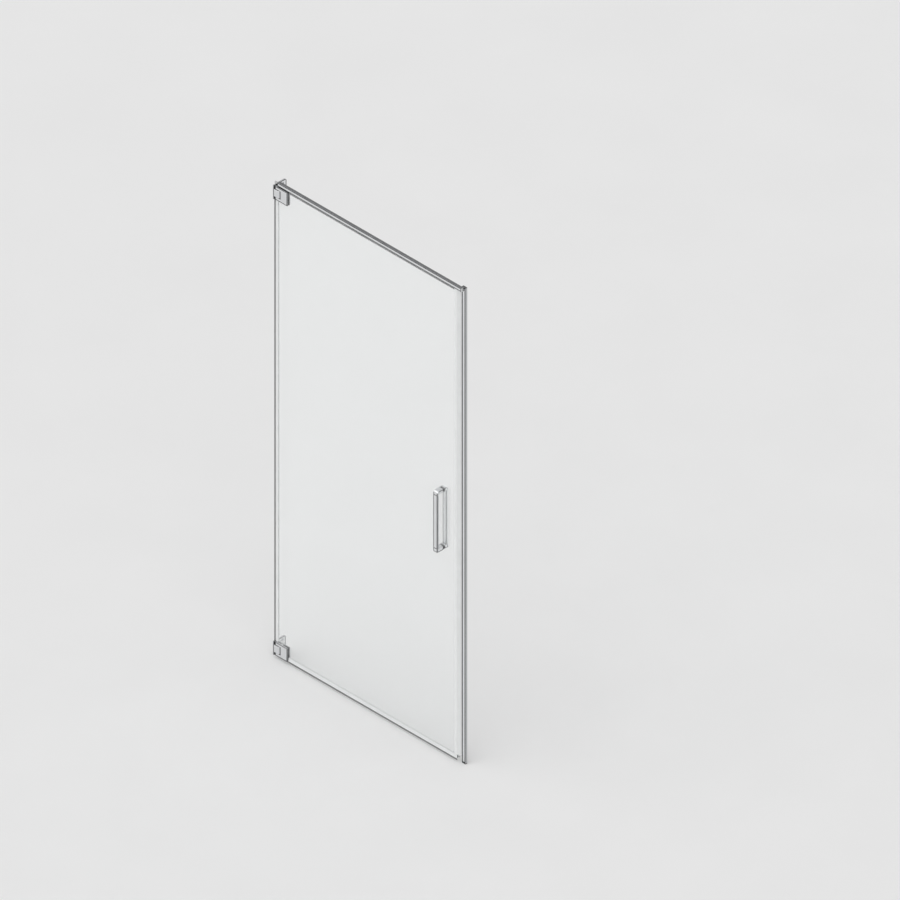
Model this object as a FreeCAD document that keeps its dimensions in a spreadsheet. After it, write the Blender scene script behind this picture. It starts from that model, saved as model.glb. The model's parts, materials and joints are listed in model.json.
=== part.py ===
import FreeCAD, Part
import os
import Sketcher

# Hinged shower door with a top bar and a strike post
# Millimetres. X runs along the door from the wall, Y into the shower, Z up.
# The origin is on the wall, in the glass mid-plane, at mid-height of the lower hinge.

document = FreeCAD.newDocument("shower_door")
sheet = document.addObject("Spreadsheet::Sheet", "sizes")

# Driving dimensions
driving_dimensions = {
    # Whole door
    "overall_height": 1902,
    "overall_width": 872,
    "threshold_gap": 12,
    "head_gap": 1.5,
    "closing_gap": 12,
    "fit_clearance": 0.05,
    "part_clearance": 0.2,
    "cut_overrun": 1,
    # Wall plates
    "plate_thickness": 5,
    "plate_depth": 57,
    "plate_front": 10,
    "plate_corner_radius": 8,
    "wall_hole_diameter": 5.5,
    "wall_hole_sink_diameter": 10.4,
    "wall_hole_spacing": 30,
    "wall_hole_inset": 16,
    # Pivot blocks
    "pivot_from_wall": 20,
    "block_height": 29,
    "block_depth": 21,
    "block_edge_radius": 0.8,
    "block_screw_radius": 2.5,
    "block_screw_length": 13,
    "block_screw_head_radius": 4.6,
    "block_screw_spacing": 18,
    "block_screw_key": 1.6,
    "bush_radius": 5,
    "bush_length": 8,
    "bush_flange_radius": 8,
    "bush_flange_height": 1,
    # Pin and its brake
    "pin_radius": 3,
    "pin_end_inset": 2,
    "pin_flat_depth": 0.5,
    "pin_flat_height": 8,
    "brake_radius": 3,
    "brake_plunger_length": 3,
    "brake_spring_length": 2,
    "brake_spring_bore": 1.2,
    "brake_adjuster_length": 1.9,
    "brake_key": 1.5,
    # Glass leaf
    "glass_thickness": 6,
    "glass_from_wall": 6,
    "glass_arris": 0.5,
    "seal_drop": 4,
    "cutout_width": 34,
    "cutout_radius": 3,
    "cutout_overlap": 1,
    # Glass clamps
    "clamp_height": 54,
    "clamp_width": 56,
    "clamp_from_wall": 8,
    "clamp_plate_thickness": 4.5,
    "clamp_edge_radius": 0.6,
    "gasket_thickness": 1,
    "gasket_margin": 0.5,
    "notch_clearance": 2.5,
    "notch_gap": 0.5,
    "lug_inset": 2,
    "cutout_gap": 2,
    "clamp_screw_radius": 2.5,
    "clamp_screw_head_radius": 4.6,
    "clamp_screw_spacing": 20,
    "clamp_screw_inset": 13,
    "clamp_screw_bite": 2.5,
    "clamp_screw_key": 1.6,
    "sleeve_radius": 4.3,
    "sleeve_bore": 2.7,
    "set_screw_radius": 2,
    "set_screw_length": 4.5,
    "set_screw_key": 1,
    # Handles
    "handle_from_edge": 71.5,
    "handle_above_tray": 939.5,
    "handle_height": 242,
    "handle_width": 19,
    "handle_thickness": 6,
    "outer_handle_projection": 29,
    "inner_handle_projection": 16,
    "handle_arm_height": 13,
    "handle_round_radius": 11,
    "handle_tenon_length": 5,
    "handle_tenon_width": 12,
    "handle_tenon_thickness": 3,
    "handle_edge_radius": 1,
    "handle_washer_radius": 7,
    "handle_washer_thickness": 1,
    "handle_stud_radius": 2.5,
    "handle_stud_reach": 9,
    "handle_sleeve_radius": 3.8,
    "handle_sleeve_bore": 2.7,
    "handle_grub_radius": 2,
    "handle_grub_key": 1,
    "handle_grub_depth": 4,
    # Top bar
    "bar_height": 13.5,
    "bar_depth": 11,
    "bar_front": 5,
    "bar_wall": 1.5,
    "bar_edge_radius": 0.8,
    "bar_wall_gap": 15,
    "bar_post_lap": 10,
    "bar_plug_length": 16,
    "bar_plug_flange": 1.5,
    "spigot_length": 20,
    "spigot_neck_radius": 3.4,
    "spigot_hole_radius": 2,
    "bar_grub_radius": 2,
    "bar_grub_length": 2.4,
    "bar_grub_key": 1,
    "bar_grub_place": 14,
    # Strike post
    "post_width": 17,
    "post_depth": 8,
    "post_wall": 1.8,
    "post_edge_radius": 0.8,
    "post_web": 4.5,
    "post_cap_height": 1.5,
    "post_cap_peg": 10,
    "post_foot_height": 3,
    "post_foot_peg": 20,
    "post_foot_hole_radius": 1.6,
    "post_foot_hole_depth": 12,
    "post_screw_radius": 1.7,
    "post_screw_head_radius": 2.7,
    "post_screw_key": 1.3,
    "post_screw_bite": 8,
    # Magnets and seals
    "magnet_groove_depth": 3.5,
    "magnet_groove_width": 5,
    "magnet_groove_inset": 1.5,
    "door_magnet_thickness": 4,
    "door_magnet_width": 5,
    "seal_wall": 1,
    "seal_gap": 1,
    "seal_leg": 12,
    "seal_nose": 4.8,
    "seal_nose_length": 4,
    "seal_nose_width": 12,
    "seal_nose_radius": 1.5,
    "seal_end_gap": 1.5,
    "drip_skirt_fall": 4,
    "drip_lip_reach": 8,
    "drip_lip_fall": 2.8,
    "stop_height": 11,
    "stop_thickness": 2.7,
    "stop_tip": 1.5,
    "stop_gap": 0.3,
}


def fill_sheet():
    for row, (alias, value) in enumerate(driving_dimensions.items(), start=1):
        sheet.set(f"A{row}", alias)
        sheet.set(f"B{row}", str(value))
        sheet.setAlias(f"B{row}", alias)
    document.recompute()


class SheetNames:
    """Gives size.alias as the expression that reads that cell."""

    def __getattr__(self, alias):
        if alias not in driving_dimensions:
            raise AttributeError(alias)
        return f"sizes.{alias}"


fill_sheet()
size = SheetNames()
parts = []

tolerance_share = 0.001
along_x = FreeCAD.Vector(1, 0, 0)
along_y = FreeCAD.Vector(0, 1, 0)
along_z = FreeCAD.Vector(0, 0, 1)
quarter_turn = 90
# Turns that lay a turned piece's own axis along X or Y
towards_x = FreeCAD.Rotation(along_y, quarter_turn)
towards_minus_x = FreeCAD.Rotation(along_y, -quarter_turn)
towards_y = FreeCAD.Rotation(along_x, -quarter_turn)
towards_minus_y = FreeCAD.Rotation(along_x, quarter_turn)
upside_down = FreeCAD.Rotation(along_x, 2 * quarter_turn)

# Levels and places that several pieces share, as expressions of the sheet's cells
leaf_bottom = f"(-{size.clamp_height} / 2)"
tray_level = f"({leaf_bottom} - {size.threshold_gap})"
bar_top = f"({tray_level} + {size.overall_height})"
bar_bottom = f"({bar_top} - {size.bar_height})"
bar_middle = f"({bar_top} - {size.bar_height} / 2)"
leaf_top = f"({bar_bottom} - {size.head_gap})"
lower_level = "0"
upper_level = f"({leaf_top} - {size.clamp_height} / 2)"

bar_back = f"({size.bar_depth} - {size.bar_front})"
bar_centre = f"({bar_back} - {size.bar_depth} / 2)"
post_left = f"({size.overall_width} - {size.post_width})"
post_front = bar_back
post_back = f"({post_front} + {size.post_depth})"
bar_end = f"({post_left} + {size.bar_post_lap})"
post_top = f"({bar_top} - {size.post_cap_height})"
post_bottom = f"({tray_level} + {size.post_foot_height})"
post_screw_place = f"({post_left} + {size.magnet_groove_depth} + {size.post_web} / 2)"
post_screw_hole = f"({size.post_screw_radius} + {size.fit_clearance})"
bar_grub_hole = f"({size.bar_grub_radius} + {size.fit_clearance})"
bar_grub_x = f"({size.bar_wall_gap} + {size.bar_grub_place})"

half_glass = f"({size.glass_thickness} / 2)"
glass_right = f"({post_left} - {size.closing_gap})"
glass_bottom = f"({leaf_bottom} + {size.seal_drop})"
clamp_inside = f"({half_glass} + {size.gasket_thickness})"
clamp_outside = f"({clamp_inside} + {size.clamp_plate_thickness})"
clamp_end = f"({size.clamp_from_wall} + {size.clamp_width})"
cutout_end = f"({size.glass_from_wall} + {size.cutout_width})"
notch_end = f"({size.pivot_from_wall} + {size.block_depth} / 2 + {size.notch_clearance})"
block_reach = f"({size.block_height} / 2 + {size.bush_flange_height})"
notch_reach = f"({block_reach} + {size.notch_gap})"
lug_reach = f"({size.clamp_height} / 2 - {size.lug_inset})"
lug_middle = f"(({lug_reach} + {notch_reach}) / 2)"
clamp_screw_place = f"({clamp_end} - {size.clamp_screw_inset})"
sleeve_hole = f"({size.sleeve_radius} + {size.part_clearance})"

handle_place = f"({glass_right} - {size.handle_from_edge})"
handle_level = f"({tray_level} + {size.handle_above_tray})"
handle_foot = f"({half_glass} + {size.handle_washer_thickness})"
handle_faces = {
    "outer": f"({handle_foot} + {size.outer_handle_projection})",
    "inner": f"({handle_foot} + {size.inner_handle_projection})",
}
stud_spread = f"(({size.handle_height} - {size.handle_arm_height}) / 2)"
grip_reach = f"({size.handle_height} / 2 - {size.handle_arm_height})"
stud_end = f"({handle_foot} + {size.handle_stud_reach})"
handle_hole = f"({size.handle_sleeve_radius} + {size.part_clearance})"

magnet_middle = f"({post_front} + {size.magnet_groove_inset} + {size.magnet_groove_width} / 2)"
seal_face = f"({post_left} - {size.seal_gap})"
seal_outside = f"({half_glass} + {size.fit_clearance} + {size.seal_wall})"
seal_inside = f"({half_glass} + {size.fit_clearance})"


def value(expression):
    return float(sheet.evalExpression(expression))


def new_body(label, place=("0", "0", "0"), turn=None):
    """A body at a place given by expressions, turned as a whole if asked."""
    body = document.addObject("PartDesign::Body", label)
    body.Label = label
    if turn:
        body.Placement = FreeCAD.Placement(FreeCAD.Vector(), turn)
    for axis, expression in zip("xyz", place):
        body.setExpression(f"Placement.Base.{axis}", expression)
    return body


def new_sketch(body, role, offset="0"):
    """A sketch on one of the body's own origin planes, shifted along that plane's normal."""
    plane = next(feature for feature in body.Origin.OriginFeatures if feature.Role == role)
    sketch = body.newObject("Sketcher::SketchObject", f"{body.Name}_sketch")
    sketch.AttachmentSupport = (plane, [""])
    sketch.MapMode = "FlatFace"
    sketch.setExpression("AttachmentOffset.Base.z", offset)
    return sketch


def bind(sketch, kind, geometry, position, expression):
    constraint = Sketcher.Constraint(kind, -1, 1, geometry, position, value(expression))
    index = sketch.addConstraint(constraint)
    sketch.setExpression(f"Constraints[{index}]", expression)


def draw_polygon(sketch, corners):
    """A closed outline through corners given as pairs of expressions."""
    first = sketch.GeometryCount
    count = len(corners)
    places = [FreeCAD.Vector(value(x), value(y), 0) for x, y in corners]
    for index in range(count):
        sketch.addGeometry(Part.LineSegment(places[index], places[(index + 1) % count]), False)
    for index in range(count):
        following = first + (index + 1) % count
        sketch.addConstraint(Sketcher.Constraint("Coincident", first + index, 2, following, 1))
    for index, (x, y) in enumerate(corners):
        bind(sketch, "DistanceX", first + index, 1, x)
        bind(sketch, "DistanceY", first + index, 1, y)


def draw_rectangle(sketch, left, bottom, right, top):
    draw_polygon(sketch, [(left, bottom), (right, bottom), (right, top), (left, top)])


def draw_circle(sketch, x, y, radius):
    centre = FreeCAD.Vector(value(x), value(y), 0)
    circle = Part.Circle(centre, FreeCAD.Vector(0, 0, 1), value(radius))
    geometry = sketch.addGeometry(circle, False)
    bind(sketch, "DistanceX", geometry, 3, x)
    bind(sketch, "DistanceY", geometry, 3, y)
    index = sketch.addConstraint(Sketcher.Constraint("Radius", geometry, value(radius)))
    sketch.setExpression(f"Constraints[{index}]", radius)


def draw_hexagon(sketch, radius):
    sides = 6
    turn = 360 / sides
    corners = []
    for index in range(sides):
        corners.append((f"{radius} * cos({index * turn})", f"{radius} * sin({index * turn})"))
    draw_polygon(sketch, corners)


def pad(body, sketch, length, both_ways=False):
    feature = body.newObject("PartDesign::Pad", f"{body.Name}_pad")
    feature.Profile = sketch
    if both_ways:
        feature.SideType = "Symmetric"
    feature.setExpression("Length", length)
    document.recompute()
    return feature


def cut(body, sketch, length=None, backwards=False):
    """A pocket of the given depth, or right through both ways, which has to remove something."""
    before = body.Shape.Volume
    feature = body.newObject("PartDesign::Pocket", f"{body.Name}_pocket")
    feature.Profile = sketch
    if length is None:
        feature.SideType = "Symmetric"
        feature.Type = "ThroughAll"
    else:
        feature.setExpression("Length", length)
        feature.Reversed = backwards
    document.recompute()
    if not body.Shape.Volume < before:
        raise RuntimeError(f"{body.Label}: a pocket cut nothing")
    return feature


def fillet(body, radius, chosen):
    """Rounds the edges of the body that chosen(edge) picks."""
    base = body.Tip
    names = []
    for index, edge in enumerate(base.Shape.Edges, start=1):
        if chosen(edge):
            names.append(f"Edge{index}")
    if not names:
        raise RuntimeError(f"{body.Label}: no edge to round")
    feature = body.newObject("PartDesign::Fillet", f"{body.Name}_fillet")
    feature.Base = (base, names)
    feature.setExpression("Radius", radius)
    document.recompute()
    return feature


def is_along(edge, direction):
    if not isinstance(edge.Curve, Part.Line):
        return False
    return abs(edge.Curve.Direction.dot(direction)) > 1 - tolerance_share


def is_near(number, expression):
    return abs(number - value(expression)) < value(size.fit_clearance)


def turned(label, profile, place=("0", "0", "0"), turn=None):
    """A body turned about its own Z axis from a profile of (radius, height) expressions."""
    body = new_body(label, place, turn)
    sketch = new_sketch(body, "XZ_Plane")
    draw_polygon(sketch, profile)
    feature = body.newObject("PartDesign::Revolution", f"{body.Name}_revolution")
    feature.Profile = sketch
    feature.ReferenceAxis = (sketch, ["V_Axis"])
    document.recompute()
    return body


def ring(label, outer, bore, length, place, turn=None):
    profile = [(bore, "0"), (outer, "0"), (outer, length), (bore, length)]
    return turned(label, profile, place, turn)


def add_key_socket(body, key, depth):
    """A hexagon key socket in the face at the body's own zero height."""
    sketch = new_sketch(body, "XY_Plane")
    draw_hexagon(sketch, key)
    cut(body, sketch, depth, backwards=True)


def sunk_screw(label, radius, length, head_radius, key, place, turn=None):
    """A countersunk screw, with its head's face at its place and its shank along the turned axis."""
    # A right-angled head is as deep as it is wide beyond the shank
    head_height = f"({head_radius} - {radius})"
    profile = [("0", "0"), (head_radius, "0"), (radius, head_height), (radius, length), ("0", length)]
    body = turned(label, profile, place, turn)
    add_key_socket(body, key, head_height)
    return body


def grub_screw(label, radius, length, key, place, turn=None):
    """A headless screw with a key socket half its length deep."""
    body = turned(label, [("0", "0"), (radius, "0"), (radius, length), ("0", length)], place, turn)
    add_key_socket(body, key, f"{length} / 2")
    return body


def add_part(piece):
    parts.append(piece)
    return piece


def add_group(label, pieces):
    """One node that holds several separate solids."""
    group = document.addObject("Part::Compound", label)
    group.Label = label
    group.Links = pieces
    document.recompute()
    return add_part(group)


# Fixed hinge half on the wall

def countersink(body, sketch, diameter, sink_diameter, backwards, depth=None):
    """Countersunk holes at the sketch's circles, of the given depth or right through."""
    document.recompute()
    before = body.Shape.Volume
    hole = body.newObject("PartDesign::Hole", f"{body.Name}_hole")
    hole.Profile = sketch
    if depth is None:
        hole.DepthType = "ThroughAll"
    else:
        hole.DepthType = "Dimension"
        hole.DrillPoint = "Flat"
        hole.setExpression("Depth", depth)
    hole.Reversed = backwards
    hole.setExpression("Diameter", diameter)
    hole.HoleCutType = "Countersink"
    hole.HoleCutCustomValues = True
    hole.setExpression("HoleCutDiameter", sink_diameter)
    hole.HoleCutCountersinkAngle = quarter_turn
    document.recompute()
    if not body.Shape.Volume < before:
        raise RuntimeError(f"{body.Label}: a hole cut nothing")


def drill_plate_holes(body, places, diameter, sink_diameter, from_front):
    """Countersunk holes through a wall plate, sunk from its front or its back face."""
    sketch = new_sketch(body, "YZ_Plane", size.plate_thickness if from_front else "0")
    for y, z in places:
        draw_circle(sketch, y, z, f"{diameter} / 2")
    countersink(body, sketch, diameter, sink_diameter, not from_front)


def make_wall_plate(side, level, top):
    body = new_body(f"{side}_wall_plate", ("0", "0", level))
    inner_edge = f"({size.plate_depth} - {size.plate_front})"
    sketch = new_sketch(body, "YZ_Plane")
    draw_rectangle(sketch, f"-{size.plate_front}", leaf_bottom, inner_edge, top)
    pad(body, sketch, size.plate_thickness)
    fillet(
        body,
        size.plate_corner_radius,
        lambda edge: is_along(edge, along_x) and is_near(edge.CenterOfMass.y, inner_edge),
    )
    wall_hole_place = f"({inner_edge} - {size.wall_hole_inset})"
    spread = f"({size.wall_hole_spacing} / 2)"
    wall_holes = [(wall_hole_place, f"-{spread}"), (wall_hole_place, spread)]
    drill_plate_holes(body, wall_holes, size.wall_hole_diameter, size.wall_hole_sink_diameter, True)
    screw_spread = f"({size.block_screw_spacing} / 2)"
    block_holes = [("0", f"-{screw_spread}"), ("0", screw_spread)]
    drill_plate_holes(
        body,
        block_holes,
        f"(2 * ({size.block_screw_radius} + {size.fit_clearance}))",
        f"(2 * ({size.block_screw_head_radius} + {size.part_clearance}))",
        False,
    )
    return add_part(body)


def round_block_rims(body):
    """Eases the block's upper and lower rims, except where it meets the plate."""

    def is_rim(edge):
        if not is_near(abs(edge.CenterOfMass.z), f"({size.block_height} / 2)"):
            return False
        return is_along(edge, along_x) or isinstance(edge.Curve, Part.Circle)

    fillet(body, size.block_edge_radius, is_rim)


def make_pivot_block(side, level):
    body = new_body(f"{side}_pivot_block", ("0", "0", level))
    half_depth = f"({size.block_depth} / 2)"
    root = new_sketch(body, "XY_Plane")
    draw_rectangle(root, size.plate_thickness, f"-{half_depth}", size.pivot_from_wall, half_depth)
    pad(body, root, size.block_height, both_ways=True)
    nose = new_sketch(body, "XY_Plane")
    draw_circle(nose, size.pivot_from_wall, "0", half_depth)
    pad(body, nose, size.block_height, both_ways=True)
    round_block_rims(body)
    bore = new_sketch(body, "XY_Plane")
    draw_circle(bore, size.pivot_from_wall, "0", f"({size.bush_radius} + {size.fit_clearance})")
    cut(body, bore)
    brake_bore = new_sketch(body, "XZ_Plane")
    draw_circle(brake_bore, size.pivot_from_wall, "0", f"({size.brake_radius} + {size.fit_clearance})")
    cut(body, brake_bore, f"({half_depth} + {size.cut_overrun})")
    screw_holes = new_sketch(body, "YZ_Plane")
    for sign in ("-", ""):
        height = f"({sign}{size.block_screw_spacing} / 2)"
        draw_circle(screw_holes, "0", height, f"({size.block_screw_radius} + {size.fit_clearance})")
    cut(body, screw_holes, f"({size.block_screw_length} + {size.part_clearance})", backwards=True)
    return add_part(body)


def make_block_screws(side, level):
    screws = []
    for name, sign in (("low", "-"), ("high", "")):
        screws.append(
            sunk_screw(
                f"{side}_block_screw_{name}",
                size.block_screw_radius,
                size.block_screw_length,
                size.block_screw_head_radius,
                size.block_screw_key,
                ("0", "0", f"({level} {sign or '+'} {size.block_screw_spacing} / 2)"),
                towards_x,
            )
        )
    add_group(f"{side}_block_screws", screws)


def make_hinge_bushes(side, level):
    """Two flanged bushes, whose flanges lie on the top and bottom faces of the pivot block."""
    bore = f"({size.pin_radius} + {size.fit_clearance})"
    under_flange = f"(-{size.bush_length})"
    profile = [
        (bore, under_flange),
        (size.bush_radius, under_flange),
        (size.bush_radius, "0"),
        (size.bush_flange_radius, "0"),
        (size.bush_flange_radius, size.bush_flange_height),
        (bore, size.bush_flange_height),
    ]
    bushes = []
    for name, sign, turn in (("low", "-", upside_down), ("high", "+", None)):
        place = (size.pivot_from_wall, "0", f"({level} {sign} {size.block_height} / 2)")
        bushes.append(turned(f"{side}_bush_{name}", profile, place, turn))
    add_group(f"{side}_hinge_bushes", bushes)


def make_brake(side, level):
    """A plunger, a tube spring and an adjuster in one bore behind the pin."""
    plunger_start = f"({size.pin_radius} + {size.fit_clearance})"
    spring_start = f"({plunger_start} + {size.brake_plunger_length})"
    adjuster_start = f"({spring_start} + {size.brake_spring_length})"
    adjuster_end = f"({adjuster_start} + {size.brake_adjuster_length})"
    plunger_profile = [
        ("0", "0"),
        (size.brake_radius, "0"),
        (size.brake_radius, size.brake_plunger_length),
        ("0", size.brake_plunger_length),
    ]
    plunger_place = (size.pivot_from_wall, plunger_start, level)
    add_part(turned(f"{side}_brake_plunger", plunger_profile, plunger_place, towards_y))
    add_part(
        ring(
            f"{side}_brake_spring",
            f"({size.brake_radius} - {size.part_clearance})",
            size.brake_spring_bore,
            size.brake_spring_length,
            (size.pivot_from_wall, spring_start, level),
            towards_y,
        )
    )
    add_part(
        grub_screw(
            f"{side}_brake_adjuster",
            size.brake_radius,
            size.brake_adjuster_length,
            size.brake_key,
            (size.pivot_from_wall, adjuster_end, level),
            towards_minus_y,
        )
    )


# Moving hinge half on the glass

def draw_clamp_outline(sketch, reach, right):
    """A C that opens towards the wall, round the pivot block."""
    left = size.clamp_from_wall
    draw_polygon(
        sketch,
        [
            (left, f"-{reach}"),
            (right, f"-{reach}"),
            (right, reach),
            (left, reach),
            (left, notch_reach),
            (notch_end, notch_reach),
            (notch_end, f"-{notch_reach}"),
            (left, f"-{notch_reach}"),
        ],
    )


def draw_clamp_screw_circles(sketch, radius):
    for sign in ("-", ""):
        draw_circle(sketch, clamp_screw_place, f"({sign}{size.clamp_screw_spacing} / 2)", radius)


def round_clamp_face(body, face_y):
    """Eases the edges round the clamp's visible face."""
    fillet(
        body,
        size.clamp_edge_radius,
        lambda edge: is_near(edge.BoundBox.YMin, face_y) and is_near(edge.BoundBox.YMax, face_y)
        and isinstance(edge.Curve, Part.Line),
    )


def make_clamp_cover(side, level):
    """The outer plate, with a plain face and blind threads behind it."""
    body = new_body(f"{side}_clamp_cover", ("0", "0", level))
    outline = new_sketch(body, "XZ_Plane", clamp_inside)
    draw_clamp_outline(outline, f"({size.clamp_height} / 2)", clamp_end)
    pad(body, outline, size.clamp_plate_thickness)
    round_clamp_face(body, f"-{clamp_outside}")
    threads = new_sketch(body, "XZ_Plane", clamp_inside)
    draw_clamp_screw_circles(threads, f"({size.clamp_screw_radius} + {size.fit_clearance})")
    cut(body, threads, f"({size.clamp_screw_bite} + {size.part_clearance})", backwards=True)
    return add_part(body)


def make_clamp_body(side, level):
    """The inner plate with the lugs that fill the glass cut-out and hold the pin."""
    body = new_body(f"{side}_clamp_body", ("0", "0", level))
    outline = new_sketch(body, "XZ_Plane", f"-{clamp_outside}")
    draw_clamp_outline(outline, f"({size.clamp_height} / 2)", clamp_end)
    pad(body, outline, size.clamp_plate_thickness)
    round_clamp_face(body, clamp_outside)
    lugs = new_sketch(body, "XZ_Plane", f"-{clamp_inside}")
    draw_clamp_outline(lugs, lug_reach, f"({cutout_end} - {size.cutout_gap})")
    pad(body, lugs, f"(2 * {clamp_inside})")
    pin_hole = new_sketch(body, "XY_Plane")
    draw_circle(pin_hole, size.pivot_from_wall, "0", f"({size.pin_radius} + {size.fit_clearance})")
    cut(body, pin_hole)
    set_screw_holes = new_sketch(body, "YZ_Plane", size.clamp_from_wall)
    for sign in ("-", ""):
        radius = f"({size.set_screw_radius} + {size.fit_clearance})"
        draw_circle(set_screw_holes, "0", f"({sign}{lug_middle})", radius)
    depth = f"({size.pivot_from_wall} - {size.clamp_from_wall})"
    cut(body, set_screw_holes, depth, backwards=True)
    drill_clamp_screw_holes(body, f"-{clamp_outside}")
    return add_part(body)


def drill_clamp_screw_holes(body, face_offset):
    """Countersunk holes through the clamp's plate, sunk from its visible face."""
    sketch = new_sketch(body, "XZ_Plane", face_offset)
    draw_clamp_screw_circles(sketch, f"({size.clamp_screw_radius} + {size.fit_clearance})")
    countersink(
        body,
        sketch,
        f"(2 * ({size.clamp_screw_radius} + {size.fit_clearance}))",
        f"(2 * ({size.clamp_screw_head_radius} + {size.part_clearance}))",
        True,
        size.clamp_plate_thickness,
    )


def make_gasket(side, face, level, offset):
    body = new_body(f"{side}_{face}_gasket", ("0", "0", level))
    reach = f"({size.clamp_height} / 2 - {size.gasket_margin})"
    outline = new_sketch(body, "XZ_Plane", offset)
    left = f"({cutout_end} + {size.gasket_margin})"
    right = f"({clamp_end} - {size.gasket_margin})"
    draw_rectangle(outline, left, f"-{reach}", right, reach)
    draw_clamp_screw_circles(outline, size.sleeve_bore)
    pad(body, outline, size.gasket_thickness)
    return add_part(body)


def make_hinge_pin(side, level):
    """A pin through both lugs, with a shallow flat where the brake plunger presses."""
    end = f"({lug_reach} - {size.pin_end_inset})"
    profile = [("0", f"-{end}"), (size.pin_radius, f"-{end}"), (size.pin_radius, end), ("0", end)]
    body = turned(f"{side}_hinge_pin", profile, (size.pivot_from_wall, "0", level))
    flat = new_sketch(body, "XZ_Plane", f"-{size.pin_radius}")
    half_height = f"({size.pin_flat_height} / 2)"
    draw_rectangle(flat, f"-{size.pin_radius}", f"-{half_height}", size.pin_radius, half_height)
    cut(body, flat, size.pin_flat_depth, backwards=True)
    return add_part(body)


def make_pin_set_screws(side, level):
    start = f"({size.pivot_from_wall} - {size.pin_radius} - {size.fit_clearance} - {size.set_screw_length})"
    screws = []
    for name, sign in (("low", "-"), ("high", "+")):
        screws.append(
            grub_screw(
                f"{side}_set_screw_{name}",
                size.set_screw_radius,
                size.set_screw_length,
                size.set_screw_key,
                (start, "0", f"({level} {sign} {lug_middle})"),
                towards_x,
            )
        )
    add_group(f"{side}_pin_set_screws", screws)


def make_clamp_screws(side, level):
    length = f"({clamp_outside} + {clamp_inside} + {size.clamp_screw_bite})"
    screws = []
    sleeves = []
    for name, sign in (("low", "-"), ("high", "+")):
        height = f"({level} {sign} {size.clamp_screw_spacing} / 2)"
        screws.append(
            sunk_screw(
                f"{side}_clamp_screw_{name}",
                size.clamp_screw_radius,
                length,
                size.clamp_screw_head_radius,
                size.clamp_screw_key,
                (clamp_screw_place, clamp_outside, height),
                towards_minus_y,
            )
        )
        sleeves.append(
            ring(
                f"{side}_clamp_sleeve_{name}",
                size.sleeve_radius,
                size.sleeve_bore,
                size.glass_thickness,
                (clamp_screw_place, f"-{half_glass}", height),
                towards_y,
            )
        )
    add_group(f"{side}_clamp_screws", screws)
    add_group(f"{side}_clamp_sleeves", sleeves)


def make_hinge(side, level, plate_top):
    make_wall_plate(side, level, plate_top)
    make_pivot_block(side, level)
    make_block_screws(side, level)
    make_hinge_bushes(side, level)
    make_brake(side, level)
    make_clamp_cover(side, level)
    make_clamp_body(side, level)
    make_gasket(side, "outer", level, half_glass)
    make_gasket(side, "inner", level, f"-{clamp_inside}")
    make_hinge_pin(side, level)
    make_pin_set_screws(side, level)
    make_clamp_screws(side, level)


# Glass

def make_glass():
    body = new_body("glass_panel")
    outline = new_sketch(body, "XZ_Plane")
    left = size.glass_from_wall
    reach = f"({size.clamp_height} / 2 - {size.cutout_overlap})"
    upper_cutout = f"({upper_level} - {reach})"
    draw_polygon(
        outline,
        [
            (cutout_end, glass_bottom),
            (glass_right, glass_bottom),
            (glass_right, leaf_top),
            (cutout_end, leaf_top),
            (cutout_end, upper_cutout),
            (left, upper_cutout),
            (left, reach),
            (cutout_end, reach),
        ],
    )
    pad(body, outline, size.glass_thickness, both_ways=True)
    inner_corners = (reach, upper_cutout)

    def is_inner_corner(edge):
        if not is_along(edge, along_y) or not is_near(edge.CenterOfMass.x, cutout_end):
            return False
        return any(is_near(edge.CenterOfMass.z, corner) for corner in inner_corners)

    fillet(body, size.cutout_radius, is_inner_corner)
    holes = new_sketch(body, "XZ_Plane")
    for level in (lower_level, upper_level):
        for sign in ("-", "+"):
            height = f"({level} {sign} {size.clamp_screw_spacing} / 2)"
            draw_circle(holes, clamp_screw_place, height, sleeve_hole)
    for sign in ("-", "+"):
        draw_circle(holes, handle_place, f"({handle_level} {sign} {stud_spread})", handle_hole)
    cut(body, holes)
    chamfer_faces(body, size.glass_arris)
    return add_part(body)


def chamfer_faces(body, width):
    """Breaks every edge of the two large faces of the glass."""
    base = body.Tip
    names = []
    for index, edge in enumerate(base.Shape.Edges, start=1):
        if edge.BoundBox.YLength < value(size.fit_clearance):
            names.append(f"Edge{index}")
    feature = body.newObject("PartDesign::Chamfer", f"{body.Name}_chamfer")
    feature.Base = (base, names)
    feature.setExpression("Size", width)
    document.recompute()


# Handles

def draw_tenon(sketch, face, sign, growth):
    grip_middle = f"({handle_faces[face]} - {size.handle_thickness} / 2)"
    half_width = f"({size.handle_tenon_width} / 2 + {growth})"
    half_thickness = f"({size.handle_tenon_thickness} / 2 + {growth})"
    near = f"({sign} ({grip_middle} - {half_thickness}))"
    far = f"({sign} ({grip_middle} + {half_thickness}))"
    draw_rectangle(sketch, f"-{half_width}", near, half_width, far)


def make_handle_grip(face, sign):
    """The flat upright of a handle, with a tenon at each end."""
    body = new_body(f"{face}_handle_grip", (handle_place, "0", handle_level))
    front = f"({sign} {handle_faces[face]})"
    back = f"({sign} ({handle_faces[face]} - {size.handle_thickness}))"
    half_width = f"({size.handle_width} / 2)"
    section = new_sketch(body, "XY_Plane")
    draw_rectangle(section, f"-{half_width}", back, half_width, front)
    pad(body, section, f"(2 * {grip_reach})", both_ways=True)
    fillet(body, size.handle_edge_radius, lambda edge: True)
    tenons = new_sketch(body, "XY_Plane")
    draw_tenon(tenons, face, sign, "0")
    pad(body, tenons, f"(2 * ({grip_reach} + {size.handle_tenon_length}))", both_ways=True)
    add_part(body)


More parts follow.
